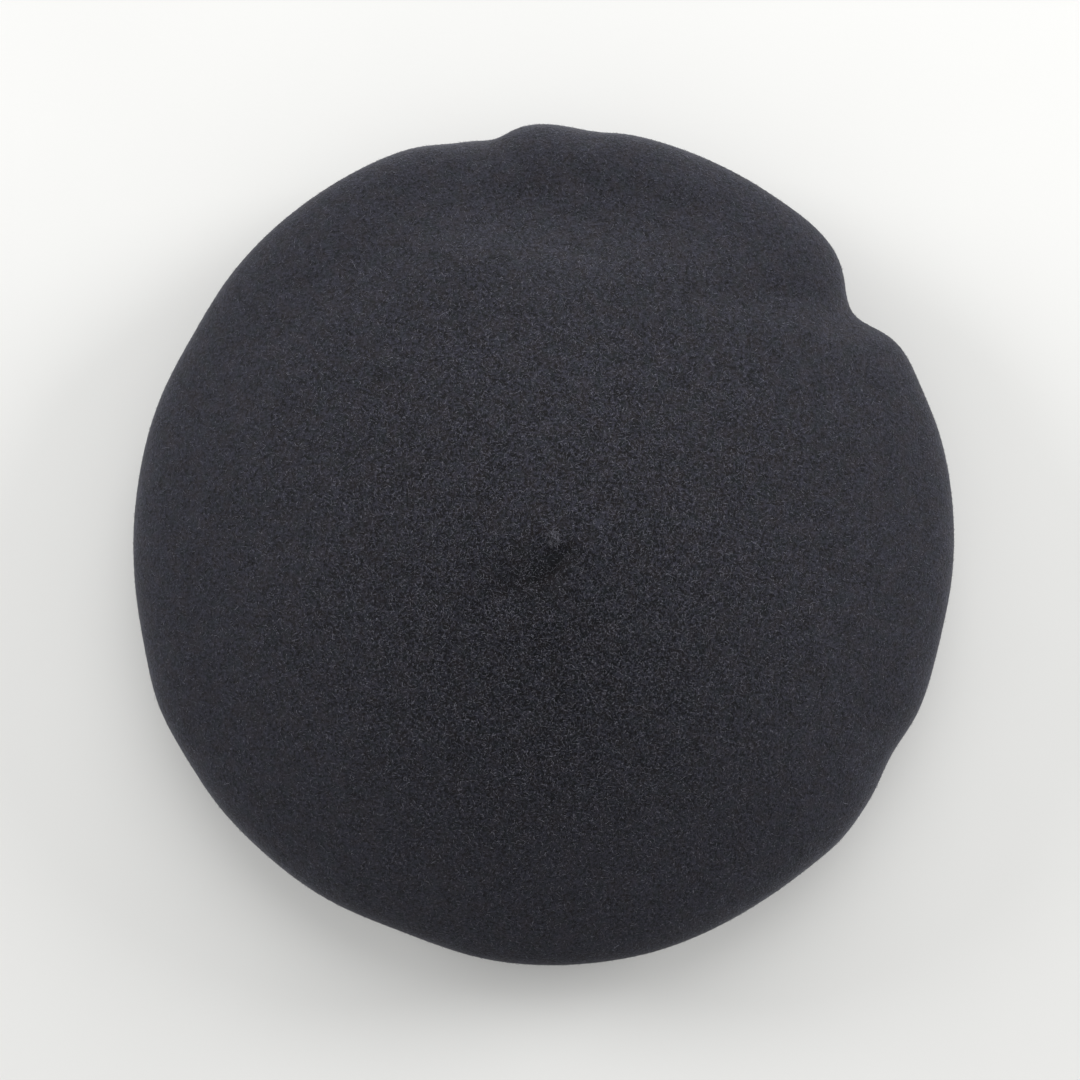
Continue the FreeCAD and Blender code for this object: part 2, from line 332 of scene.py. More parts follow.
def run_tree(tree, name, values):
    """A new object shaped by the tree, with its inputs set before it is first evaluated."""
    built = bpy.data.objects.new(name + "_build", bpy.data.meshes.new(name + "_build"))
    modifier = built.modifiers.new("build", "NODES")
    modifier.node_group = tree
    for item in tree.interface.items_tree:
        if item.in_out == "INPUT" and item.name in values:
            modifier[item.identifier] = values[item.name]
    bpy.context.collection.objects.link(built)
    return built


rim_half_width = 142.5 * MM
rim_half_length = 145.8 * MM
felt_wall = 2.2 * MM

# The outer face in millimetres, (from the middle, height): lip, resting ring, underside, crown.
felt_profile = [
    (93.01, 7.0), (93.01, 5.0), (93.01, 2.6), (93.36, 0.5), (94.51, 0.0), (95.71, 0.0),
    (98.11, 0.0), (99.51, 0.0), (102.31, 0.5), (108, 2.2), (116, 4.6), (124, 7.4), (131, 10.6),
    (137, 14.6), (141.4, 19.0), (143.15, 24.0), (141.8, 29.0), (138, 32.8), (132.5, 35.9),
    (126, 38.6), (118.5, 41.0), (110.5, 43.2), (102, 45.3), (92.5, 47.3), (81.5, 49.3),
    (68.5, 51.5), (54, 53.7), (38, 55.8), (22, 57.4), (10, 58), (4, 58), (0, 58),
]
# Where the rim is pushed in or out: (direction in degrees from +X, outwards, half width).
rim_fold = [(37.0, -9.6, 3.9), (24.0, -1.1, 5.0), (50.0, 0.5, 3.0)]
back_pleat = [(96.8, -2.6, 2.0), (101.5, -2.9, 3.6), (90.5, 0.35, 2.4), (83.0, -1.2, 2.6)]
soft_waves = [
    (149.0, -1.45, 6.5), (203.0, 1.7, 5.0), (217.0, 1.0, 6.0), (250.0, -2.35, 7.5),
    (286.0, 0.7, 7.0), (315.0, 1.0, 3.5), (329.0, -2.4, 3.8), (346.0, -1.4, 7.0),
]
# Hollows and swellings of the crown: (x, y, direction, half length, half width, rise).
crown_folds = [
    (84, 84, 183, 22, 5.0, -1.5),
    (96, 70, 190, 16, 6.0, 0.7),
    (-22, 136, 215, 8, 2.4, 0.8),
    (-34, 126, 205, 12, 5.0, -0.7),
    (-28, 95, 10, 11, 7.0, 0.9),
    (4, 112, 358, 30, 13.0, -3.2),
    (52, 108, 335, 14, 6.0, -0.5),
    (-73, 88, 225, 14, 6.0, -0.6),
    (-88, 55, 250, 14, 7.0, 0.6),
    (60, -96, 30, 18, 7.0, -0.6),
    (-36, -108, 340, 18, 8.0, 0.5),
    (*middle_crease, 5.5, 1.7, -1.3),
    (-6.0, -11.5, 215, 10, 6.0, -1.5),
    (4.5, 5.5, 20, 9.0, 5.0, 0.5),
    (-3.0, -24.0, 10, 14, 7.0, 0.5),
]


def felt_tree(material):
    tree, shape, given = new_tree("felt_body_shape", {
        "Profile": "Object", "Around": "Int", "Along": "Int", "Rim Half Width": "Float",
        "Rim Half Length": "Float", "Dent Start": "Float", "Dent Full": "Float",
        "Unevenness": "Float", "Seed": "Int",
    })
    sheet = shape.node("GeometryNodeMeshGrid", {}, {
        "Size X": 1.0, "Size Y": 1.0, "Vertices X": given["Around"], "Vertices Y": given["Along"],
    })
    across, up, _ = shape.parts(shape.node("GeometryNodeInputPosition").outputs[0])
    turn = (across + 0.5) * math.tau
    along = up + 0.5
    line = shape.node("GeometryNodeObjectInfo", {}, {"Object": given["Profile"]})
    sampled = shape.node("GeometryNodeSampleCurve", {"mode": "FACTOR"}, {
        "Curves": line.outputs["Geometry"], "Factor": along,
    })
    radius, _, height = shape.parts(sampled.outputs["Position"])

    longer = given["Rim Half Length"] - given["Rim Half Width"]
    push = longer * turn.sine() * turn.sine()
    for centre, outwards, half_width in rim_fold + back_pleat + soft_waves:
        away = turn - math.radians(centre)
        wrapped = away.maths("WRAP", away, math.pi, -math.pi)
        push = push + wrapped.bell(0.0, math.radians(half_width)) * (outwards * MM)
    dent = radius.ramp(given["Dent Start"], given["Dent Full"])
    shift = 1.0 - radius.ramp(12 * MM, 92 * MM)
    reach = radius + dent * push
    x = reach * turn.cosine() + shift * crown_centre[0]
    y = reach * turn.sine() + shift * crown_centre[1]

    on_crown = along.ramp(0.30, 0.44)
    rise = along * 0.0
    for fold_x, fold_y, direction, half_length, half_width, lift in crown_folds:
        cosine = math.cos(math.radians(direction))
        sine = math.sin(math.radians(direction))
        from_x = x - fold_x * MM
        from_y = y - fold_y * MM
        lengthwise = (from_x * cosine + from_y * sine).bell(0.0, half_length * MM)
        crosswise = (from_y * cosine - from_x * sine).bell(0.0, half_width * MM)
        rise = rise + lengthwise * crosswise * (lift * MM)
    unevenness = shape.number("ShaderNodeTexNoise", {"noise_dimensions": "4D"}, {
        "Vector": shape.vector(x, y, height), "W": given["Seed"],
        "Scale": 1.0 / (34 * MM), "Detail": 2.0,
    })
    by_ring = (1.0 - on_crown) * (1.0 - radius.ramp(99 * MM, 118 * MM))
    settle = (unevenness - 0.5) * given["Unevenness"] * (1.0 - by_ring)
    moved = shape.node("GeometryNodeSetPosition", {}, {
        "Geometry": sheet.outputs[0],
        "Position": shape.vector(x, y, height + rise * on_crown + settle),
    })
    closed = shape.node("GeometryNodeMergeByDistance", {}, {
        "Geometry": moved.outputs[0], "Distance": 0.01 * MM,
    })
    end_tree(shape, closed.outputs[0], material)
    return tree


felt_cloth = black_felt("black_wool_felt")
felt_line = guide_curve("felt_line", [(r * MM, 0.0, z * MM) for r, z in felt_profile])
felt_build = run_tree(felt_tree(felt_cloth), "felt_body", {
    "Profile": felt_line, "Around": 361, "Along": 131, "Rim Half Width": rim_half_width,
    "Rim Half Length": rim_half_length, "Dent Start": 99.7 * MM, "Dent Full": 141 * MM,
    "Unevenness": 1.6 * MM, "Seed": 4,
})
felt_thicken = felt_build.modifiers.new("wall", "SOLIDIFY")
felt_thicken.thickness = felt_wall
felt_thicken.offset = -1.0
felt_shell = finished(felt_build, "felt_shell")
bpy.data.objects.remove(felt_line)
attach(felt_shell, "hat")
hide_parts("felt_body")


# ---- Nap -------------------------------------------------------------------------------------
# Short wool fibres that stand a little out of the felt all over, thickest on the crown, and a few
# coarse pale hairs that took no dye. They are part of the felt, so they move with it.

def nap_fibres(name):
    """Single wool fibres, each of its own shade, a little uneven along its length."""
    wool = Finish(name)
    shade = Sum(wool, wool.node("ShaderNodeAttribute", {"attribute_name": "shade"}).outputs["Fac"])
    along = wool.noise(0.6 * MM, detail=1.0)
    light = (shade * (0.75 + along * 0.5)).clamped()
    colour = wool.blend(light, (0.006, 0.006, 0.0075, 1.0), (0.26, 0.26, 0.31, 1.0))
    normal = wool.relief(along, 0.02 * MM, 0.3)
    return wool.surface(colour, 0.72 + along * 0.1, normal, specular_ior_level=0.25)


def nap_tree(material):
    tree, nap, given = new_tree("felt_nap", {
        "Cloth": "Object", "Per Square Metre": "Float", "Inner Radius": "Float",
        "Outer Radius": "Float", "Lowest": "Float", "Worn Away": "Float", "Bends": "Int",
        "Length": "Float", "Thickness": "Float", "Palest": "Float", "Seed": "Int",
    })
    cloth = nap.node("GeometryNodeObjectInfo", {}, {"Object": given["Cloth"]}).outputs["Geometry"]
    place = nap.node("GeometryNodeInputPosition").outputs[0]
    facing = nap.node("GeometryNodeInputNormal").outputs[0]
    from_inside = nap.vector_maths("SUBTRACT", {0: place, 1: (0.0, 0.0, 22 * MM)})
    outwards = nap.vector_maths("DOT_PRODUCT", {0: from_inside, 1: facing}, "Value")
    outside = Sum(nap, outwards).ramp(0.0, 1 * MM)
    x, y, z = nap.parts(place)
    radius = (x ** 2 + y ** 2) ** 0.5
    ring = radius.maths("GREATER_THAN", radius, given["Inner Radius"])
    ring = ring * radius.maths("LESS_THAN", radius, given["Outer Radius"])
    above = z.ramp(given["Lowest"], given["Lowest"] + 8 * MM)
    worn = radius.ramp(25 * MM, 140 * MM) * given["Worn Away"]
    density = outside * ring * above * (1.0 - worn) * given["Per Square Metre"]
    roots = nap.node("GeometryNodeDistributePointsOnFaces", {"distribute_method": "RANDOM"}, {
        "Mesh": cloth, "Density": density, "Seed": given["Seed"],
    })

    # One fibre lies along its own X from 0 to 1, bends sideways and lifts off the cloth.
    straight = nap.node("GeometryNodeMeshCone", {"fill_type": "NGON"}, {
        "Vertices": 3, "Side Segments": given["Bends"], "Radius Top": 0.0, "Radius Bottom": 0.5,
        "Depth": 1.0,
    }).outputs["Mesh"]
    side, up, along = nap.parts(nap.node("GeometryNodeInputPosition").outputs[0])
    length = given["Length"]
    bent = nap.vector(
        along * length,
        along * along * length * 0.34 + side * given["Thickness"],
        along * (1.0 - along * 0.45) * length * 0.26 + up * given["Thickness"],
    )
    fibre = nap.node("GeometryNodeSetPosition", {}, {"Geometry": straight, "Position": bent}).outputs[0]

    from_middle = nap.vector_maths("SUBTRACT", {0: place, 1: (*crown_centre, 0.0)})
    lying = laid(nap, "ZX", roots.outputs["Normal"], from_middle, (0.8, 0.3, 1.7), given["Seed"])
    stretch = nap.node("FunctionNodeRandomValue", {"data_type": "FLOAT_VECTOR"}, {
        "Min": (0.45, 0.7, 0.6), "Max": (1.35, 1.25, 1.2), "Seed": given["Seed"] + 1,
    }).outputs[0]
    fibres = nap.node("GeometryNodeInstanceOnPoints", {}, {
        "Points": roots.outputs["Points"], "Instance": fibre, "Rotation": lying, "Scale": stretch,
    }).outputs[0]
    chance = nap.node("FunctionNodeRandomValue", {"data_type": "FLOAT"}, {
        "Min": 0.0, "Max": 1.0, "Seed": given["Seed"] + 2,
    }).outputs[1]
    rim_shade = 1.25 - radius.ramp(45 * MM, 140 * MM) * 0.55
    shade = Sum(nap, chance) ** 1.6 * rim_shade * given["Palest"]
    shaded = nap.node("GeometryNodeStoreNamedAttribute", {"data_type": "FLOAT", "domain": "INSTANCE"}, {
        "Geometry": fibres, "Name": "shade", "Value": shade,
    }).outputs[0]
    end_tree(nap, shaded, material)
    return tree


nap_shape = nap_tree(nap_fibres("wool_nap"))
wool = {"Cloth": felt_shell, "Per Square Metre": 2.6e6, "Worn Away": 0.6, "Lowest": 15 * MM,
        "Bends": 1, "Length": 1.15 * MM, "Thickness": 0.10 * MM, "Palest": 1.0}
nap_zones = {
    "nap_crown": {"Inner Radius": -10 * MM, "Outer Radius": 66 * MM, "Seed": 11},
    "nap_shoulder": {"Inner Radius": 66 * MM, "Outer Radius": 98 * MM, "Seed": 17},
    "nap_slope": {"Inner Radius": 98 * MM, "Outer Radius": 127 * MM, "Seed": 23},
    "nap_rim": {"Inner Radius": 127 * MM, "Outer Radius": 160 * MM, "Seed": 29},
    "undyed_hairs": {"Inner Radius": -10 * MM, "Outer Radius": 160 * MM, "Seed": 53,
                     "Per Square Metre": 0.9e3, "Worn Away": 0.0, "Bends": 4, "Length": 3.0 * MM,
                     "Palest": 5.0},
}
for zone, values in nap_zones.items():
    nap = finished(run_tree(nap_shape, zone, {**wool, **values}), zone)
    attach(nap, "hat")


# ---- Centre tuft -----------------------------------------------------------------------------
# The point where the knitting closes, darned over with the same black yarn and shrunk with the
# body, so that only a small flattened tuft of crossing strands is left.

def darning_yarn(name):
    """Black wool yarn, softer and hairier than the felt."""
    yarn = Finish(name)
    twist = yarn.noise(0.35 * MM, detail=3.0, roughness=0.7)
    shade = (twist * 3.0 - 1.1).clamped()
    colour = yarn.blend(shade, (0.002, 0.002, 0.0025, 1.0), (0.026, 0.026, 0.031, 1.0))
    return yarn.surface(
        colour, 0.85 + twist * 0.1, yarn.relief(twist, 0.3 * MM), specular_ior_level=0.12,
        sheen_weight=0.12, sheen_roughness=0.5, sheen_tint=(0.88, 0.90, 1.0, 1.0),
    )


def tuft_strands(name, middle, radius, foot, top, count, chance):
    """Strands that cross over the middle of a low mound, each a smooth line with both ends sunk."""
    yarn = new_curve(name, 5, 0.27 * MM)
    for index in range(count):
        heading = math.tau * index * 0.382 + chance.uniform(-0.3, 0.3)
        offset = chance.uniform(-0.45, 0.45) * radius
        bow = chance.uniform(-0.25, 0.25) * radius
        half = (radius ** 2 - offset ** 2) ** 0.5 * chance.uniform(0.82, 1.05)
        strand = []
        for share in (-1.0, -0.86, -0.5, 0.0, 0.5, 0.86, 1.0):
            along = share * half
            across = offset + bow * (1.0 - share * share)
            reach = min((along ** 2 + across ** 2) / radius ** 2, 1.0)
            height = foot + (top - foot) * (1.0 - reach ** 1.3) - 0.5 * MM * share ** 8
            x = middle[0] + along * math.cos(heading) - across * math.sin(heading)
            y = middle[1] + along * math.sin(heading) + across * math.cos(heading)
            strand.append((x, y, height + chance.uniform(-0.08, 0.12) * MM))
        add_line(yarn, strand)
    return placed(name, yarn)


def merged(name, parts, material):
    """Several objects made one mesh piece."""
    together = bmesh.new()
    for part in parts:
        together.from_mesh(part.data)
        bpy.data.objects.remove(part)
    mesh = bpy.data.meshes.new(name)
    together.to_mesh(mesh)
    together.free()
    mesh.shade_smooth()
    mesh.materials.append(material)
    return placed(name, mesh)


def from_points(name, points, faces):
    mesh = bpy.data.meshes.new(name)
    mesh.from_pydata(points, [], faces)
    return placed(name, mesh)


def mound(name, middle, radius, foot, top, rings, spokes):
    """A low lumpy mound, closed underneath, that fills the gaps between the strands."""
    points = [(middle[0], middle[1], top)]
    for ring in range(1, rings + 1):
        share = ring / rings
        for spoke in range(spokes):
            angle = math.tau * spoke / spokes
            lump = 1.0 + 0.12 * math.sin(3 * angle + 1.0) + 0.06 * math.sin(7 * angle)
            reach = radius * share * lump
            height = foot + (top - foot) * (1.0 - share ** 2.6)
            x = middle[0] + reach * math.cos(angle)
            y = middle[1] + reach * math.sin(angle)
            points.append((x, y, height))
    points.append((middle[0], middle[1], foot - 0.2 * MM))
    faces = []
    last = len(points) - 1
    for spoke in range(spokes):
        beside = (spoke + 1) % spokes
        faces.append((0, 1 + spoke, 1 + beside))
        for ring in range(rings - 1):
            near = 1 + ring * spokes
            far = near + spokes
            faces.append((near + spoke, far + spoke, far + beside, near + beside))
        edge = 1 + (rings - 1) * spokes
        faces.append((last, edge + beside, edge + spoke))
    return from_points(name, points, faces)


nub_low, nub_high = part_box("centre_nub")
tuft_middle = (0.5 * (nub_low[0] + nub_high[0]), 0.5 * (nub_low[1] + nub_high[1]))
tuft_radius = 0.5 * (nub_high[0] - nub_low[0])
tuft_foot = nub_low[2] - 0.4 * MM
tuft_top = nub_high[2] - 0.3 * MM
tuft_yarn = tuft_strands(
    "tuft_yarn", tuft_middle, tuft_radius, tuft_foot, tuft_top, count=13, chance=random.Random(5),
)
tuft_core = mound(
    "tuft_core", tuft_middle, 0.85 * tuft_radius, tuft_foot, tuft_top - 0.3 * MM, rings=8, spokes=32,
)
tuft_strands_mesh = finished(tuft_yarn, "tuft_strands")
tuft = merged("centre_tuft", [tuft_strands_mesh, tuft_core], darning_yarn("darning_yarn"))
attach(tuft, "hat")
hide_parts("centre_nub")
tuft_hairs = finished(run_tree(nap_shape, "tuft_hairs", {
    **wool, "Cloth": tuft, "Inner Radius": -10 * MM, "Outer Radius": 20 * MM, "Seed": 41,
    "Per Square Metre": 4.5e6, "Bends": 3, "Length": 1.8 * MM, "Palest": 1.25,
}), "tuft_hairs")
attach(tuft_hairs, "hat")


# ---- Edge tape -------------------------------------------------------------------------------
# A narrow cotton twill tape sewn round the opening behind the leather, so that it can't stretch.

def cotton_twill(name, radius, rib):
    """Woven tape with fine slanting ribs, on a standing ring of this radius."""
    tape = Finish(name)
    x, y, z = tape.parts(tape.place)
    around = x.maths("ARCTAN2", y, x) * radius
    slant = (around + z).ribs(rib)
    fluff = tape.noise(0.5 * MM, detail=3.0)
    tone = slant * 0.7 + fluff * 0.3
    colour = tape.blend(tone, (0.008, 0.008, 0.010, 1.0), (0.040, 0.040, 0.046, 1.0))
    relief = tape.relief(slant, 0.12 * MM, 0.8)
    return tape.surface(colour, 0.8 + fluff * 0.12, relief, specular_ior_level=0.2)


edge_tape = frame["nodes"]["edge_tape"]
tape_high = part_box("edge_tape")[1]
edge_tape.material_slots[0].material = cotton_twill("cotton_twill", tape_high[0], 0.9 * MM)


# ---- Side lining -----------------------------------------------------------------------------
# A straight strip of black satin, closed into a ring. One edge is gathered to the round tip, the
# other goes down behind the leather into the seam at the lip. It hangs loose inside the felt.

def black_satin(name):
    """Polyester satin: smooth floating threads one way, so that its gloss is drawn out along them."""
    satin = Finish(name)
    u, v, _ = satin.parts(satin.cloth)
    floats = satin.noise(0.32 * MM, place=satin.vector(u, v * 0.05), detail=3.0, roughness=0.7)
    weft = v.ribs(0.6 * MM)
    shots = satin.noise(12 * MM, detail=2.0)
    tone = floats * 0.65 + weft * 0.12 + shots * 0.25
    colour = satin.blend(tone, (0.010, 0.010, 0.013, 1.0), (0.052, 0.053, 0.064, 1.0))
    height = floats * 0.7 + weft * 0.3
    return satin.surface(
        colour, 0.30 + floats * 0.20, satin.relief(height, 0.06 * MM, 0.6), specular_ior_level=0.5,
        sheen_weight=0.15, sheen_roughness=0.4,
    )


def points_on(line):
    """The points of a guide curve's own smooth line; the curve goes."""
    mesh = settled_mesh(line)
    places = [vertex.co.copy() for vertex in mesh.vertices]
    bpy.data.objects.remove(line)
    bpy.data.meshes.remove(mesh)
    return places


def part_way(places, share):
    """The place and the direction part way along a line of points, share from 0 to 1."""
    step = min(share, 1.0) * (len(places) - 1)
    index = min(int(step), len(places) - 2)
    run = places[index + 1] - places[index]
    return places[index] + run * (step - index), run.normalized()


def cloth_grid(name, across, along, place, size, ring=False):
    """A grid of points at place(u, v), with u and v from 0 to 1 and a UV map of the flat cloth."""
    columns = across if ring else across + 1
    spots = []
    for row in range(along + 1):
        spots += [place(column / across, row / along) for column in range(columns)]
    faces = []
    corners = []
    for row in range(along):
        for column in range(across):
            beside = (column + 1) % columns
            near = row * columns
            far = near + columns
            faces.append((near + column, near + beside, far + beside, far + column))
            corners += [(column, row), (column + 1, row), (column + 1, row + 1), (column, row + 1)]
    made = from_points(name, spots, faces)
    flat = made.data.uv_layers.new(name="cloth")
    for corner, (column, row) in zip(flat.data, corners):
        corner.uv = (column / across * size[0], row / along * size[1])
    made.data.shade_smooth()
    return made


def with_wall(made, name, thickness, offset, material):
    """The sheet given its thickness, as a finished piece."""
    wall = made.modifiers.new("wall", "SOLIDIFY")
    wall.thickness = thickness
    wall.offset = offset
    return finished(made, name, material)


satin_wall = 0.4 * MM
side_profile = [
    (78.2, 42.2), (85, 42.6), (94, 41.8), (103, 39.2), (110, 34), (113.6, 26.5), (111.8, 18.5),
    (105.4, 12.6), (98.5, 9.9), (94.61, 9.2), (92.59, 8.9), (92.49, 6.6), (92.49, 4.6), (92.49, 2.6),
]
side_line = points_on(guide_curve("side_line", [(r * MM, 0.0, z * MM) for r, z in side_profile]))
gather_count = 86


def gathers(angle):
    """How the cloth rises and falls round the gathered seam, between about -1 and 1."""
    drift = 1.6 * math.sin(7 * angle + 0.4) + 1.1 * math.sin(13 * angle + 2.0)
    drift += 0.8 * math.sin(5 * angle)
    size = 0.62 + 0.24 * math.sin(9 * angle + 1.3) + 0.14 * math.sin(17 * angle)
    small = 0.22 * math.sin(143 * angle + 2.0 * drift)
    return size * math.sin(gather_count * angle + drift) + small


def side_place(u, v):
    angle = math.tau * u
    spot, direction = part_way(side_line, v)
    folds = 1.0 * MM * gathers(angle) * max(1.0 - v * 1.35, 0.0) ** 1.2
    slack = 0.9 * MM * math.sin(23 * angle + 9 * v) * math.sin(math.pi * min(v * 1.25, 1.0)) ** 2
    eased = 0.16 * MM * math.sin(61 * angle + 1.0) * max(v * 4.0 - 3.0, 0.0)
    lift = folds * min(v * 9.0 + 0.25, 1.0) + slack + eased
    radius = spot.x - lift * direction.z
    height = spot.z + lift * direction.x
    return radius * math.cos(angle), radius * math.sin(angle), height


side_flat = (0.720, 0.084)
side_cloth = black_satin("black_satin")
side_grid = cloth_grid("lining_side_flat", 8 * gather_count, 46, side_place, side_flat, ring=True)
side_lining = with_wall(side_grid, "side_lining", satin_wall, -1.0, side_cloth)
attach(side_lining, "hat")
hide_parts("lining_side")


# ---- Lining tip ------------------------------------------------------------------------------
# The round piece of the same satin under the crown. It is cut as one disc, and hangs a little
# slack, with creases running in from the seam where the gathered side pulls on it.

tip_profile = [(0, 40.0), (18, 40.0), (34, 40.13), (48, 40.75), (62, 41.54), (78, 42.2)]
tip_line = points_on(guide_curve("tip_line", [(r * MM, 0.0, z * MM) for r, z in tip_profile]))
tip_radius = 78.0 * MM


def tip_place(u, v):
    angle = math.tau * u
    spot, direction = part_way(tip_line, v)
    near_seam = max(spot.x / tip_radius - 0.62, 0.0) / 0.38
    creases = 0.30 * MM * (gathers(angle) + 1.0) * near_seam ** 2 * (1.0 - 0.6 * near_seam ** 8)
    slack = 0.45 * MM * (1.0 + math.sin(4 * angle + 1.0 + 2.2 * v)) * math.sin(math.pi * v) ** 2
    return spot.x * math.cos(angle), spot.x * math.sin(angle), spot.z + creases + slack


def closed_pole(made):
    """The same sheet with the points that meet in the middle made one, and a UV map as seen flat."""
    sheet = bmesh.new()
    sheet.from_mesh(made.data)
    bmesh.ops.remove_doubles(sheet, verts=sheet.verts, dist=0.01 * MM)
    flat = sheet.loops.layers.uv.active
    for face in sheet.faces:
        for corner in face.loops:
            corner[flat].uv = corner.vert.co.xy
    sheet.to_mesh(made.data)
    sheet.free()
    return made


tip_grid = cloth_grid("lining_tip_flat", 6 * gather_count, 44, tip_place, (1.0, 1.0), ring=True)
tip_grid = closed_pole(tip_grid)
tip_lining = with_wall(tip_grid, "tip_lining", satin_wall, -1.0, side_cloth)
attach(tip_lining, "hat")
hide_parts("lining_tip")


# ---- Tip seam --------------------------------------------------------------------------------
# The lockstitches that join the side to the tip, seen from inside the hat.

def sewing_thread(name, dark, light):
    """Two-ply sewing thread with a faint twist."""
    thread = Finish(name)
    ply = thread.noise(0.22 * MM, detail=2.0, roughness=0.6)
    colour = thread.blend(ply, dark, light)
    relief = thread.relief(ply, 0.08 * MM, 0.8)
    return thread.surface(colour, 0.45 + ply * 0.2, relief, specular_ior_level=0.4)


def stitch_tree():
    """Stitches along a line, each a short arch of thread whose two ends dive into the cloth."""
    tree, sewing, given = new_tree("row_of_stitches", {
        "Path": "Object", "Pitch": "Float", "Length": "Float", "Thickness": "Float",
        "Inwards": "Float", "Seed": "Int", "Thread": "Material",
    })
    line = sewing.node("GeometryNodeObjectInfo", {}, {"Object": given["Path"]}).outputs["Geometry"]
    holes = sewing.node("GeometryNodeCurveToPoints", {"mode": "LENGTH"}, {
        "Curve": line, "Length": given["Pitch"],
    })
    straight = sewing.node("GeometryNodeMeshCylinder", {"fill_type": "NGON"}, {
        "Vertices": 6, "Side Segments": 6, "Radius": 0.5, "Depth": 1.0,
    }).outputs["Mesh"]
    place = sewing.node("GeometryNodeInputPosition").outputs[0]
    side, up, along = sewing.parts(place)
    thickness = given["Thickness"]
    to_end = along * along * 4.0
    plump = thickness * (1.0 - to_end * to_end * 0.45)
    height = plump * up - thickness * to_end * to_end * 0.9
    arch = sewing.node("GeometryNodeSetPosition", {}, {
        "Geometry": straight, "Position": sewing.vector(along * given["Length"], plump * side, height),
    }).outputs[0]

    # Each stitch faces straight down, or the middle of the hat where Inwards is 1.
    to_middle = sewing.vector_maths("MULTIPLY", {0: place, 1: (-1.0, -1.0, 0.0)})
    to_middle = sewing.vector_maths("NORMALIZE", {0: to_middle})
    facing = sewing.vector_maths("SCALE", {0: to_middle, 3: given["Inwards"]})
    down = sewing.vector(0.0, 0.0, given["Inwards"] - 1.0)
    facing = sewing.vector_maths("ADD", {0: facing, 1: down})
    tangent = holes.outputs["Tangent"]
    row = sewing.node("GeometryNodeInstanceOnPoints", {}, {
        "Points": holes.outputs["Points"], "Instance": arch,
        "Rotation": laid(sewing, "XZ", tangent, facing, (0.1, 0.02, 0.045), given["Seed"]),
    }).outputs[0]
    end_tree(sewing, row, given["Thread"])
    return tree


def round_path(name, radius, height):
    points = []
    for step in range(120):
        angle = math.tau * step / 120
        points.append((radius * math.cos(angle), radius * math.sin(angle), height))
    return guide_curve(name, points, cyclic=True)


def sewn(name, path, node, slot, **values):
    """A finished row of stitches along the path, in place of its plain CAD stitches."""
    piece = finished(run_tree(sewing_rows, name, {"Path": path, **values}), name)
    bpy.data.objects.remove(path)
    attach(piece, "hat")
    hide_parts(node)


sewing_rows = stitch_tree()
lining_thread = sewing_thread("lining_thread", (0.014, 0.014, 0.017, 1.0), (0.085, 0.085, 0.10, 1.0))
tip_thread_low, tip_thread_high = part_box("tip_seam_thread")
tip_seam_height = 0.5 * (tip_thread_low[2] + tip_thread_high[2])
tip_seam_radius = 76.6 * MM
sewn(
    "tip_seam_stitches", round_path("tip_seam_path", tip_seam_radius, tip_seam_height),
    "tip_seam_thread", "lining_thread", Thread=lining_thread, Inwards=0.0,
    Pitch=4.297 * MM, Length=3.4 * MM, Thickness=0.42 * MM, Seed=3,
)


# ---- Maker's label ---------------------------------------------------------------------------
# A woven label, left blank, sewn flat under the middle of the tip. Its edges are folded under, so
# it is thicker round the border, and each stitch of its border pulls it down a little.

def woven_label(name, width, depth):
    """Off-white damask with fine ribs, and a narrow satin border woven in."""
    label = Finish(name)
    u, v, _ = label.parts(label.cloth)
    warp = u.ribs(0.42 * MM)
    weft = v.ribs(0.30 * MM)
    sides = u.maths("ABSOLUTE", u - 0.5 * width).ramp(0.5 * width - 3.1 * MM, 0.5 * width - 2.9 * MM)
    ends = v.maths("ABSOLUTE", v - 0.5 * depth).ramp(0.5 * depth - 3.1 * MM, 0.5 * depth - 2.9 * MM)
    border = sides.maths("MAXIMUM", sides, ends)
    dust = label.noise(5 * MM, detail=3.0)
    tone = warp * 0.3 + weft * 0.3 + dust * 0.3 + border * 0.35
    colour = label.blend(tone.clamped(), (0.40, 0.375, 0.33, 1.0), (0.66, 0.63, 0.57, 1.0))
    height = warp * 0.5 + weft * 0.5 + border * 0.4
    return label.surface(
        colour, 0.62 - border * 0.16 + dust * 0.08, label.relief(height, 0.07 * MM, 0.7),
        specular_ior_level=0.3, sheen_weight=0.1,
    )


label_low, label_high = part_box("maker_label")
label_width = label_high[0] - label_low[0]
label_depth = label_high[1] - label_low[1]
label_corner = 1.5 * MM
label_wall = 0.4 * MM
stitch_inset = 1.6 * MM


def label_place(u, v):
    """A rounded rectangle, a little sunk along its stitches and thicker outside them."""
    half_depth = 0.5 * label_depth
    y = (v - 0.5) * label_depth
    into_corner = max(abs(y) - (half_depth - label_corner), 0.0)
    half_width = 0.5 * label_width - label_corner + (label_corner ** 2 - into_corner ** 2) ** 0.5
    x = (u - 0.5) * 2.0 * half_width
    to_edge = min(0.5 * label_width - abs(x), half_depth - abs(y))
    sunk = 0.10 * MM * math.exp(-((to_edge - stitch_inset) / (0.7 * MM)) ** 2)
    waves = 0.05 * MM * math.sin(x / MM * 0.9 + 1.0) * math.sin(y / MM * 0.7)
    middle_x = 0.5 * (label_low[0] + label_high[0])
    middle_y = 0.5 * (label_low[1] + label_high[1])
    return middle_x - x, middle_y + y, label_low[2] + 0.05 * MM + sunk + waves


label_grid = cloth_grid("maker_label_flat", 92, 56, label_place, (label_width, label_depth))
label_cloth = woven_label("woven_label", label_width, label_depth)
maker_label = with_wall(label_grid, "blank_maker_label", label_wall, -1.0, label_cloth)
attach(maker_label, "hat")
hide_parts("maker_label")


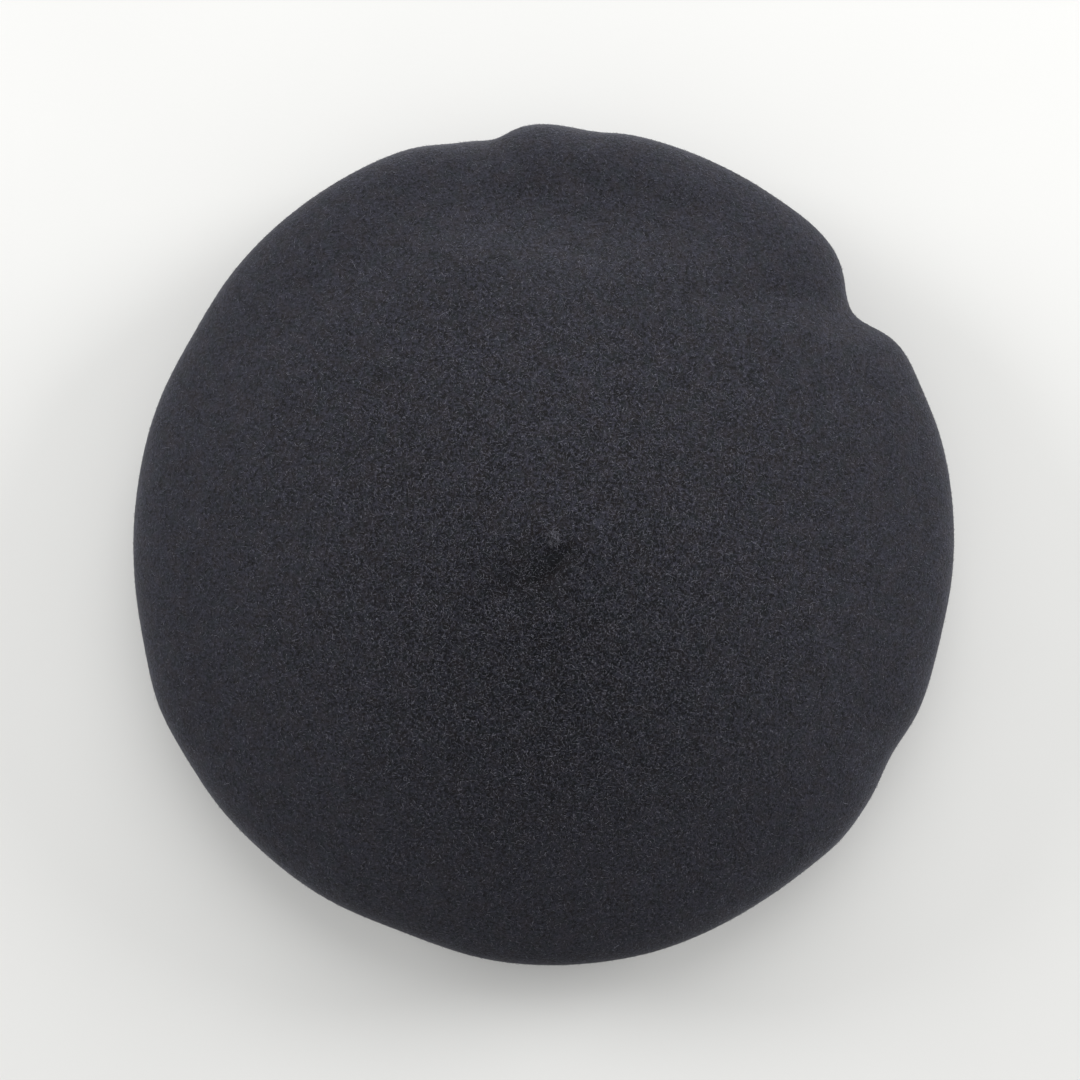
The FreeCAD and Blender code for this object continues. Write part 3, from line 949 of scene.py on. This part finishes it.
def label_seam(name, stitches_long, stitches_short):
    """Four straight rows, one inside each side of the label."""
    half_width = 0.5 * label_width - stitch_inset
    half_depth = 0.5 * label_depth - stitch_inset
    middle_y = 0.5 * (label_low[1] + label_high[1])
    height = label_low[2] - 0.12 * MM
    curve = new_curve(name, 12)
    corners = [(-1, -1), (1, -1), (1, 1), (-1, 1)]
    for index, (right, up) in enumerate(corners):
        next_right, next_up = corners[(index + 1) % 4]
        inset = 0.5 / (stitches_short if index % 2 else stitches_long)
        row = []
        for share in (inset, 1.0 - inset):
            x = half_width * (right + (next_right - right) * share)
            y = half_depth * (up + (next_up - up) * share)
            row.append((x, middle_y + y, height))
        add_line(curve, row, kind="POLY")
    return placed(name, curve)


label_thread = sewing_thread("label_thread", (0.34, 0.32, 0.28, 1.0), (0.58, 0.55, 0.49, 1.0))
sewn(
    "maker_label_stitches", label_seam("label_seam_path", stitches_long=11, stitches_short=5),
    "maker_label_thread", "label_thread", Thread=label_thread, Inwards=0.0,
    Pitch=3.88 * MM, Length=3.1 * MM, Thickness=0.38 * MM, Seed=8,
)


# ---- Care label and size tab -----------------------------------------------------------------
# Two blank loops of white satin ribbon, each folded in two with its cut ends caught in the tip
# seam at the back. They hang free, and each ribbon bends at its top.

def white_ribbon(name, width):
    """White satin ribbon: fine ribs across it, and a firmer woven edge down both sides."""
    ribbon = Finish(name)
    u, v, _ = ribbon.parts(ribbon.cloth)
    ribs = v.ribs(0.36 * MM)
    threads = ribbon.noise(0.3 * MM, place=ribbon.cloth, detail=3.0)
    edge = u.maths("ABSOLUTE", u - 0.5 * width).ramp(0.5 * width - 1.1 * MM, 0.5 * width - 0.8 * MM)
    soft = ribbon.noise(7 * MM, detail=2.0)
    tone = (ribs * 0.25 + threads * 0.3 + soft * 0.35 + edge * 0.2).clamped()
    colour = ribbon.blend(tone, (0.62, 0.62, 0.60, 1.0), (0.84, 0.84, 0.83, 1.0))
    relief = ribbon.relief(ribs * 0.5 + edge * 0.5, 0.05 * MM, 0.6)
    return ribbon.surface(
        colour, 0.34 + threads * 0.14 + edge * 0.12, relief, specular_ior_level=0.5, sheen_weight=0.1,
    )


ribbon_wall = 0.22 * MM
swing_axes = {joint["child"]: joint["pos_m"] for joint in frame["record"]["behaviour"]["joints"]}


def hanging_loop(name, body, node, lean, curl):
    """A ribbon from the seam, down, round its fold and back up, bending at its swing axis."""
    low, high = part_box(node)
    width = high[0] - low[0]
    hinge_y, hinge_z = swing_axes[body][1:]
    half_gap = 0.36 * MM
    bulge = 0.25 * MM
    fold = low[2] + half_gap
    drop = hinge_z - fold
    seam = (hinge_y + 2.3 * MM, hinge_z + 1.35 * MM)

    def leg(side):
        """One leg of the loop, from the hinge down: the back one for 1, the front one for -1."""
        points = []
        for share in (0.0, 0.12, 0.3, 0.5, 0.7, 0.86, 0.97):
            out = half_gap * min(0.45 + share * 2.5, 1.0) + bulge * math.sin(math.pi * share)
            points.append((hinge_y + side * out + lean * share ** 2, hinge_z - drop * share))
        return points + [(hinge_y + side * 0.9 * half_gap + lean, low[2] + 0.1 * MM)]

    route = [(seam[0], seam[1] + 0.12 * MM), (hinge_y + 1.3 * MM, hinge_z + 1.2 * MM)]
    route += leg(1) + leg(-1)[::-1]
    route += [(hinge_y + 0.75 * MM, hinge_z + 0.85 * MM), (seam[0], seam[1] - 0.32 * MM)]
    line = points_on(guide_curve(name + "_line", [(0.0, y, z) for y, z in route]))
    length = sum((b - a).length for a, b in zip(line, line[1:]))

    def place(u, v):
        spot, _ = part_way(line, v)
        sideways = (u - 0.5) * width
        hang = min(max((hinge_z - spot.z) / drop, 0.0), 1.0)
        cupped = curl * hang ** 2 * ((2.0 * u - 1.0) ** 2 - 0.33)
        return low[0] + 0.5 * width + sideways, spot.y + cupped, spot.z

    grid = cloth_grid(name + "_flat", 16, 96, place, (width, length))
    ribbon = with_wall(grid, name, ribbon_wall, 0.0, white_ribbon(name + "_ribbon", width))
    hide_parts(node)
    hinge_z + 0.9 * MM
    hinge_z - 1.6 * MM
    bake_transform(ribbon)


hanging_loop("blank_care_label", "care_flap", "care_label", lean=-0.7 * MM, curl=0.9 * MM)
hanging_loop("blank_size_tab", "size_flap", "size_tab", lean=0.35 * MM, curl=-0.3 * MM)


# ---- Sweatband -------------------------------------------------------------------------------
# A strip of thin black leather standing round the inside of the opening. Its ends are butted at
# the back and drawn together by a zigzag. One row of stitches holds it, the tape and the lining.

def band_leather(name):
    """Thin black leather: fine pebbled grain, a few creases, and a little polish from wear."""
    hide = Finish(name)
    cells = hide.node("ShaderNodeTexVoronoi", {"feature": "SMOOTH_F1"}, {
        "Vector": hide.place, "Scale": 1.0 / (0.85 * MM), "Smoothness": 0.35,
    }).outputs[0]
    pebbles = 1.0 - Sum(hide, cells).clamped()
    creases = hide.noise(5 * MM, detail=5.0, roughness=0.65)
    polish = hide.noise(24 * MM, detail=2.0)
    tone = pebbles * 0.4 + creases * 0.35 + polish * 0.3
    colour = hide.blend(tone.clamped(), (0.006, 0.0055, 0.005, 1.0), (0.046, 0.041, 0.038, 1.0))
    height = pebbles * 0.7 + creases * 0.5
    return hide.surface(
        colour, 0.36 + pebbles * 0.10 + polish * 0.14, hide.relief(height, 0.09 * MM, 0.75),
        specular_ior_level=0.5,
    )


band_low, band_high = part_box("sweatband")
head_radius = frame["record"]["mounts"][0]["dims"]["r_mm"] * MM
seam_radius = 90.98 * MM
seam_height = 4.2 * MM
band_stitches = 126
join_gap = 0.4 * MM
join_half_width = 3.0 * MM
join_bottom = 6.5 * MM
join_top = 23.8 * MM
edge_round = 0.35 * MM


def band_section():
    """The strip's section from its foot, up the inner face, over the top and down the outer face."""
    bottom, top = band_low[2], band_high[2]
    inner = [(0.0, bottom + edge_round)]
    heights = [1.9, 2.8, 3.55, 3.8, 4.0, 4.2, 4.4, 4.6, 4.85, 5.6, 6.4, 6.7,
               8.5, 11, 13.5, 16, 18.5, 21, 23.0, 23.6, 23.8, 24.0, 24.25]
    inner += [(0.0, height * MM) for height in heights]
    inner += [(0.0, top - edge_round), (0.1 * MM, top - 0.1 * MM)]
    thickness = band_high[0] - head_radius
    outer = [(0.9 * thickness, top - 0.1 * MM), (thickness, top - edge_round)]
    outer += [(thickness, height * MM) for height in (21, 16, 11, 6)]
    outer += [(thickness, bottom + edge_round), (thickness - 0.1 * MM, bottom + 0.1 * MM)]
    foot = [(0.5 * thickness, bottom), (0.1 * MM, bottom + 0.1 * MM)]
    return inner + [(0.5 * thickness, top)] + outer + foot


section = band_section()


def band_place(u, v):
    depth, height = section[round(u * len(section)) % len(section)]
    half_gap = 0.5 * join_gap / head_radius
    angle = 0.5 * math.pi + half_gap + v * (math.tau - 2.0 * half_gap)
    if depth < 0.05 * MM and height < band_high[2] - edge_round:
        groove = 0.45 * MM * math.exp(-((height - seam_height) / (0.42 * MM)) ** 4)
        hole = abs(math.cos(0.5 * band_stitches * (angle + math.pi / band_stitches))) ** 24
        groove += 0.22 * MM * hole * math.exp(-((height - seam_height) / (0.35 * MM)) ** 2)
        crease = 0.14 * MM * math.exp(-((height - join_top) / (0.28 * MM)) ** 2)
        sideways = abs(head_radius * math.cos(angle)) if math.sin(angle) > 0 else head_radius
        recess = 0.0
        if sideways < join_half_width and join_bottom < height < join_top:
            recess = 0.45 * MM * min((join_half_width - sideways) / (0.8 * MM), 1.0)
        depth += max(groove + crease, recess)
    wave = 0.10 * MM * math.sin(5 * angle + 1.0) + 0.06 * MM * math.sin(11 * angle)
    radius = head_radius + depth + wave * (height - band_low[2]) / (band_high[2] - band_low[2])
    return radius * math.cos(angle), radius * math.sin(angle), height


def closed_ends(made):
    """The strip's two cut ends closed with a face each."""
    strip = bmesh.new()
    strip.from_mesh(made.data)
    open_edges = [edge for edge in strip.edges if edge.is_boundary]
    bmesh.ops.holes_fill(strip, edges=open_edges, sides=0)
    bmesh.ops.recalc_face_normals(strip, faces=strip.faces)
    strip.to_mesh(made.data)
    strip.free()
    made.data.shade_smooth()
    return made


band_flat = (0.053, math.tau * head_radius)
band_grid = closed_ends(cloth_grid(
    "sweatband_flat", len(section), 6 * band_stitches, band_place, band_flat, ring=True,
))
sweatband = finished(band_grid, "leather_sweatband", band_leather("band_leather"))
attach(sweatband, "hat")
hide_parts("sweatband")

band_thread = sewing_thread("band_thread", (0.012, 0.012, 0.014, 1.0), (0.080, 0.080, 0.088, 1.0))
sewn(
    "band_seam_stitches", round_path("band_seam_path", seam_radius, seam_height),
    "band_seam_thread", "thread", Thread=band_thread, Inwards=1.0,
    Pitch=4.532 * MM, Length=3.5 * MM, Thickness=0.42 * MM, Seed=5,
)


def zigzag(name, turns, half_width, low, high, depth):
    """One thread laced from side to side across the butted ends, sinking in at each turn."""
    thread = new_curve(name, 6, 0.2 * MM)
    step = (high - low) / turns
    places = []
    for turn in range(turns + 1):
        side = half_width if turn % 2 else -half_width
        height = low + (high - low) * turn / turns
        places.append((side, depth + 0.30 * MM, height))
        if turn < turns:
            places.append((0.72 * side, depth - 0.02 * MM, height + 0.14 * step))
            places.append((-0.72 * side, depth - 0.02 * MM, height + 0.86 * step))
    add_line(thread, places, order=3)
    return finished(placed(name + "_build", thread), name, band_thread)


join_low, join_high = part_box("band_join_thread")
join_depth = 0.5 * (join_low[1] + join_high[1])
join_lace_half = 1.8 * MM
join_lace = zigzag("band_join_lace", 6, join_lace_half, join_low[2], join_high[2], join_depth)
join_lace.data.shade_smooth()
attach(join_lace, "hat")
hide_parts("band_join_thread")


# ---- Floor, light and camera -----------------------------------------------------------------
# A plain pale table under one large soft lamp beyond the back of the hat, a smaller one at each
# side and weak light all round. The table's lower face is clear and a weak lamp stands beneath,
# so that the lining can be seen from below.

def pale_table():
    paint = Finish("pale_table")
    mottle = paint.noise(90 * MM, detail=2.0)
    colour = paint.blend(mottle, (0.75, 0.75, 0.737, 1.0), (0.78, 0.78, 0.767, 1.0))
    relief = paint.relief(paint.noise(2 * MM, detail=3.0), 0.05 * MM, 0.2)
    top = paint.node("ShaderNodeBsdfPrincipled", {}, {
        "Base Color": colour, "Roughness": 0.6 + mottle * 0.1, "Normal": relief,
    })
    clear = paint.node("ShaderNodeBsdfTransparent")
    from_below = paint.node("ShaderNodeNewGeometry").outputs["Backfacing"]
    one_sided = paint.node("ShaderNodeMixShader", {}, {
        0: from_below, 1: top.outputs[0], 2: clear.outputs[0],
    })
    paint.node("ShaderNodeOutputMaterial", {}, {"Surface": one_sided.outputs[0]})
    return paint.material


table_half = 3.0
table_corners = [(x * table_half, y * table_half, 0.0) for x, y in ((-1, -1), (1, -1), (1, 1), (-1, 1))]
table = from_points("table", table_corners, [(0, 1, 2, 3)])
table.data.materials.append(pale_table())
table.visible_shadow = False


def soft_lamp(name, place, size, watts):
    """A round soft lamp that faces the middle of the hat's foot."""
    light = bpy.data.lights.new(name, "AREA")
    light.shape = "DISK"
    light.size = size
    light.energy = watts
    lamp = placed(name, light)
    lamp.location = place
    lamp.rotation_euler = (-Vector(place)).to_track_quat("-Z", "Y").to_euler()


soft_lamp("window", (0.3, 2.3, 1.75), size=2.6, watts=44.0)
soft_lamp("left_wall", (-2.1, 0.95, 0.6), size=1.1, watts=43.0)
soft_lamp("right_wall", (2.1, 0.95, 0.6), size=1.1, watts=49.0)
soft_lamp("low_fill", (0.05, 0.0, -0.9), size=0.5, watts=4.0)

world = bpy.data.worlds.new("room")
world.use_nodes = True
room_light = world.node_tree.nodes["Background"].inputs
room_light["Color"].default_value = (0.97, 0.97, 0.965, 1.0)
room_light["Strength"].default_value = 0.54
bpy.context.scene.world = world
bpy.context.scene.view_settings.view_transform = "Standard"

camera = placed("camera", bpy.data.cameras.new("camera"))
camera.data.lens = 50.0
camera.data.sensor_width = 36.0
frame_width = 375.4 * MM
rim_height = 25.0 * MM
away = rim_height + frame_width * camera.data.lens / camera.data.sensor_width
camera.location = (-1.4 * MM, 1.7 * MM, away)
bpy.context.scene.camera = camera
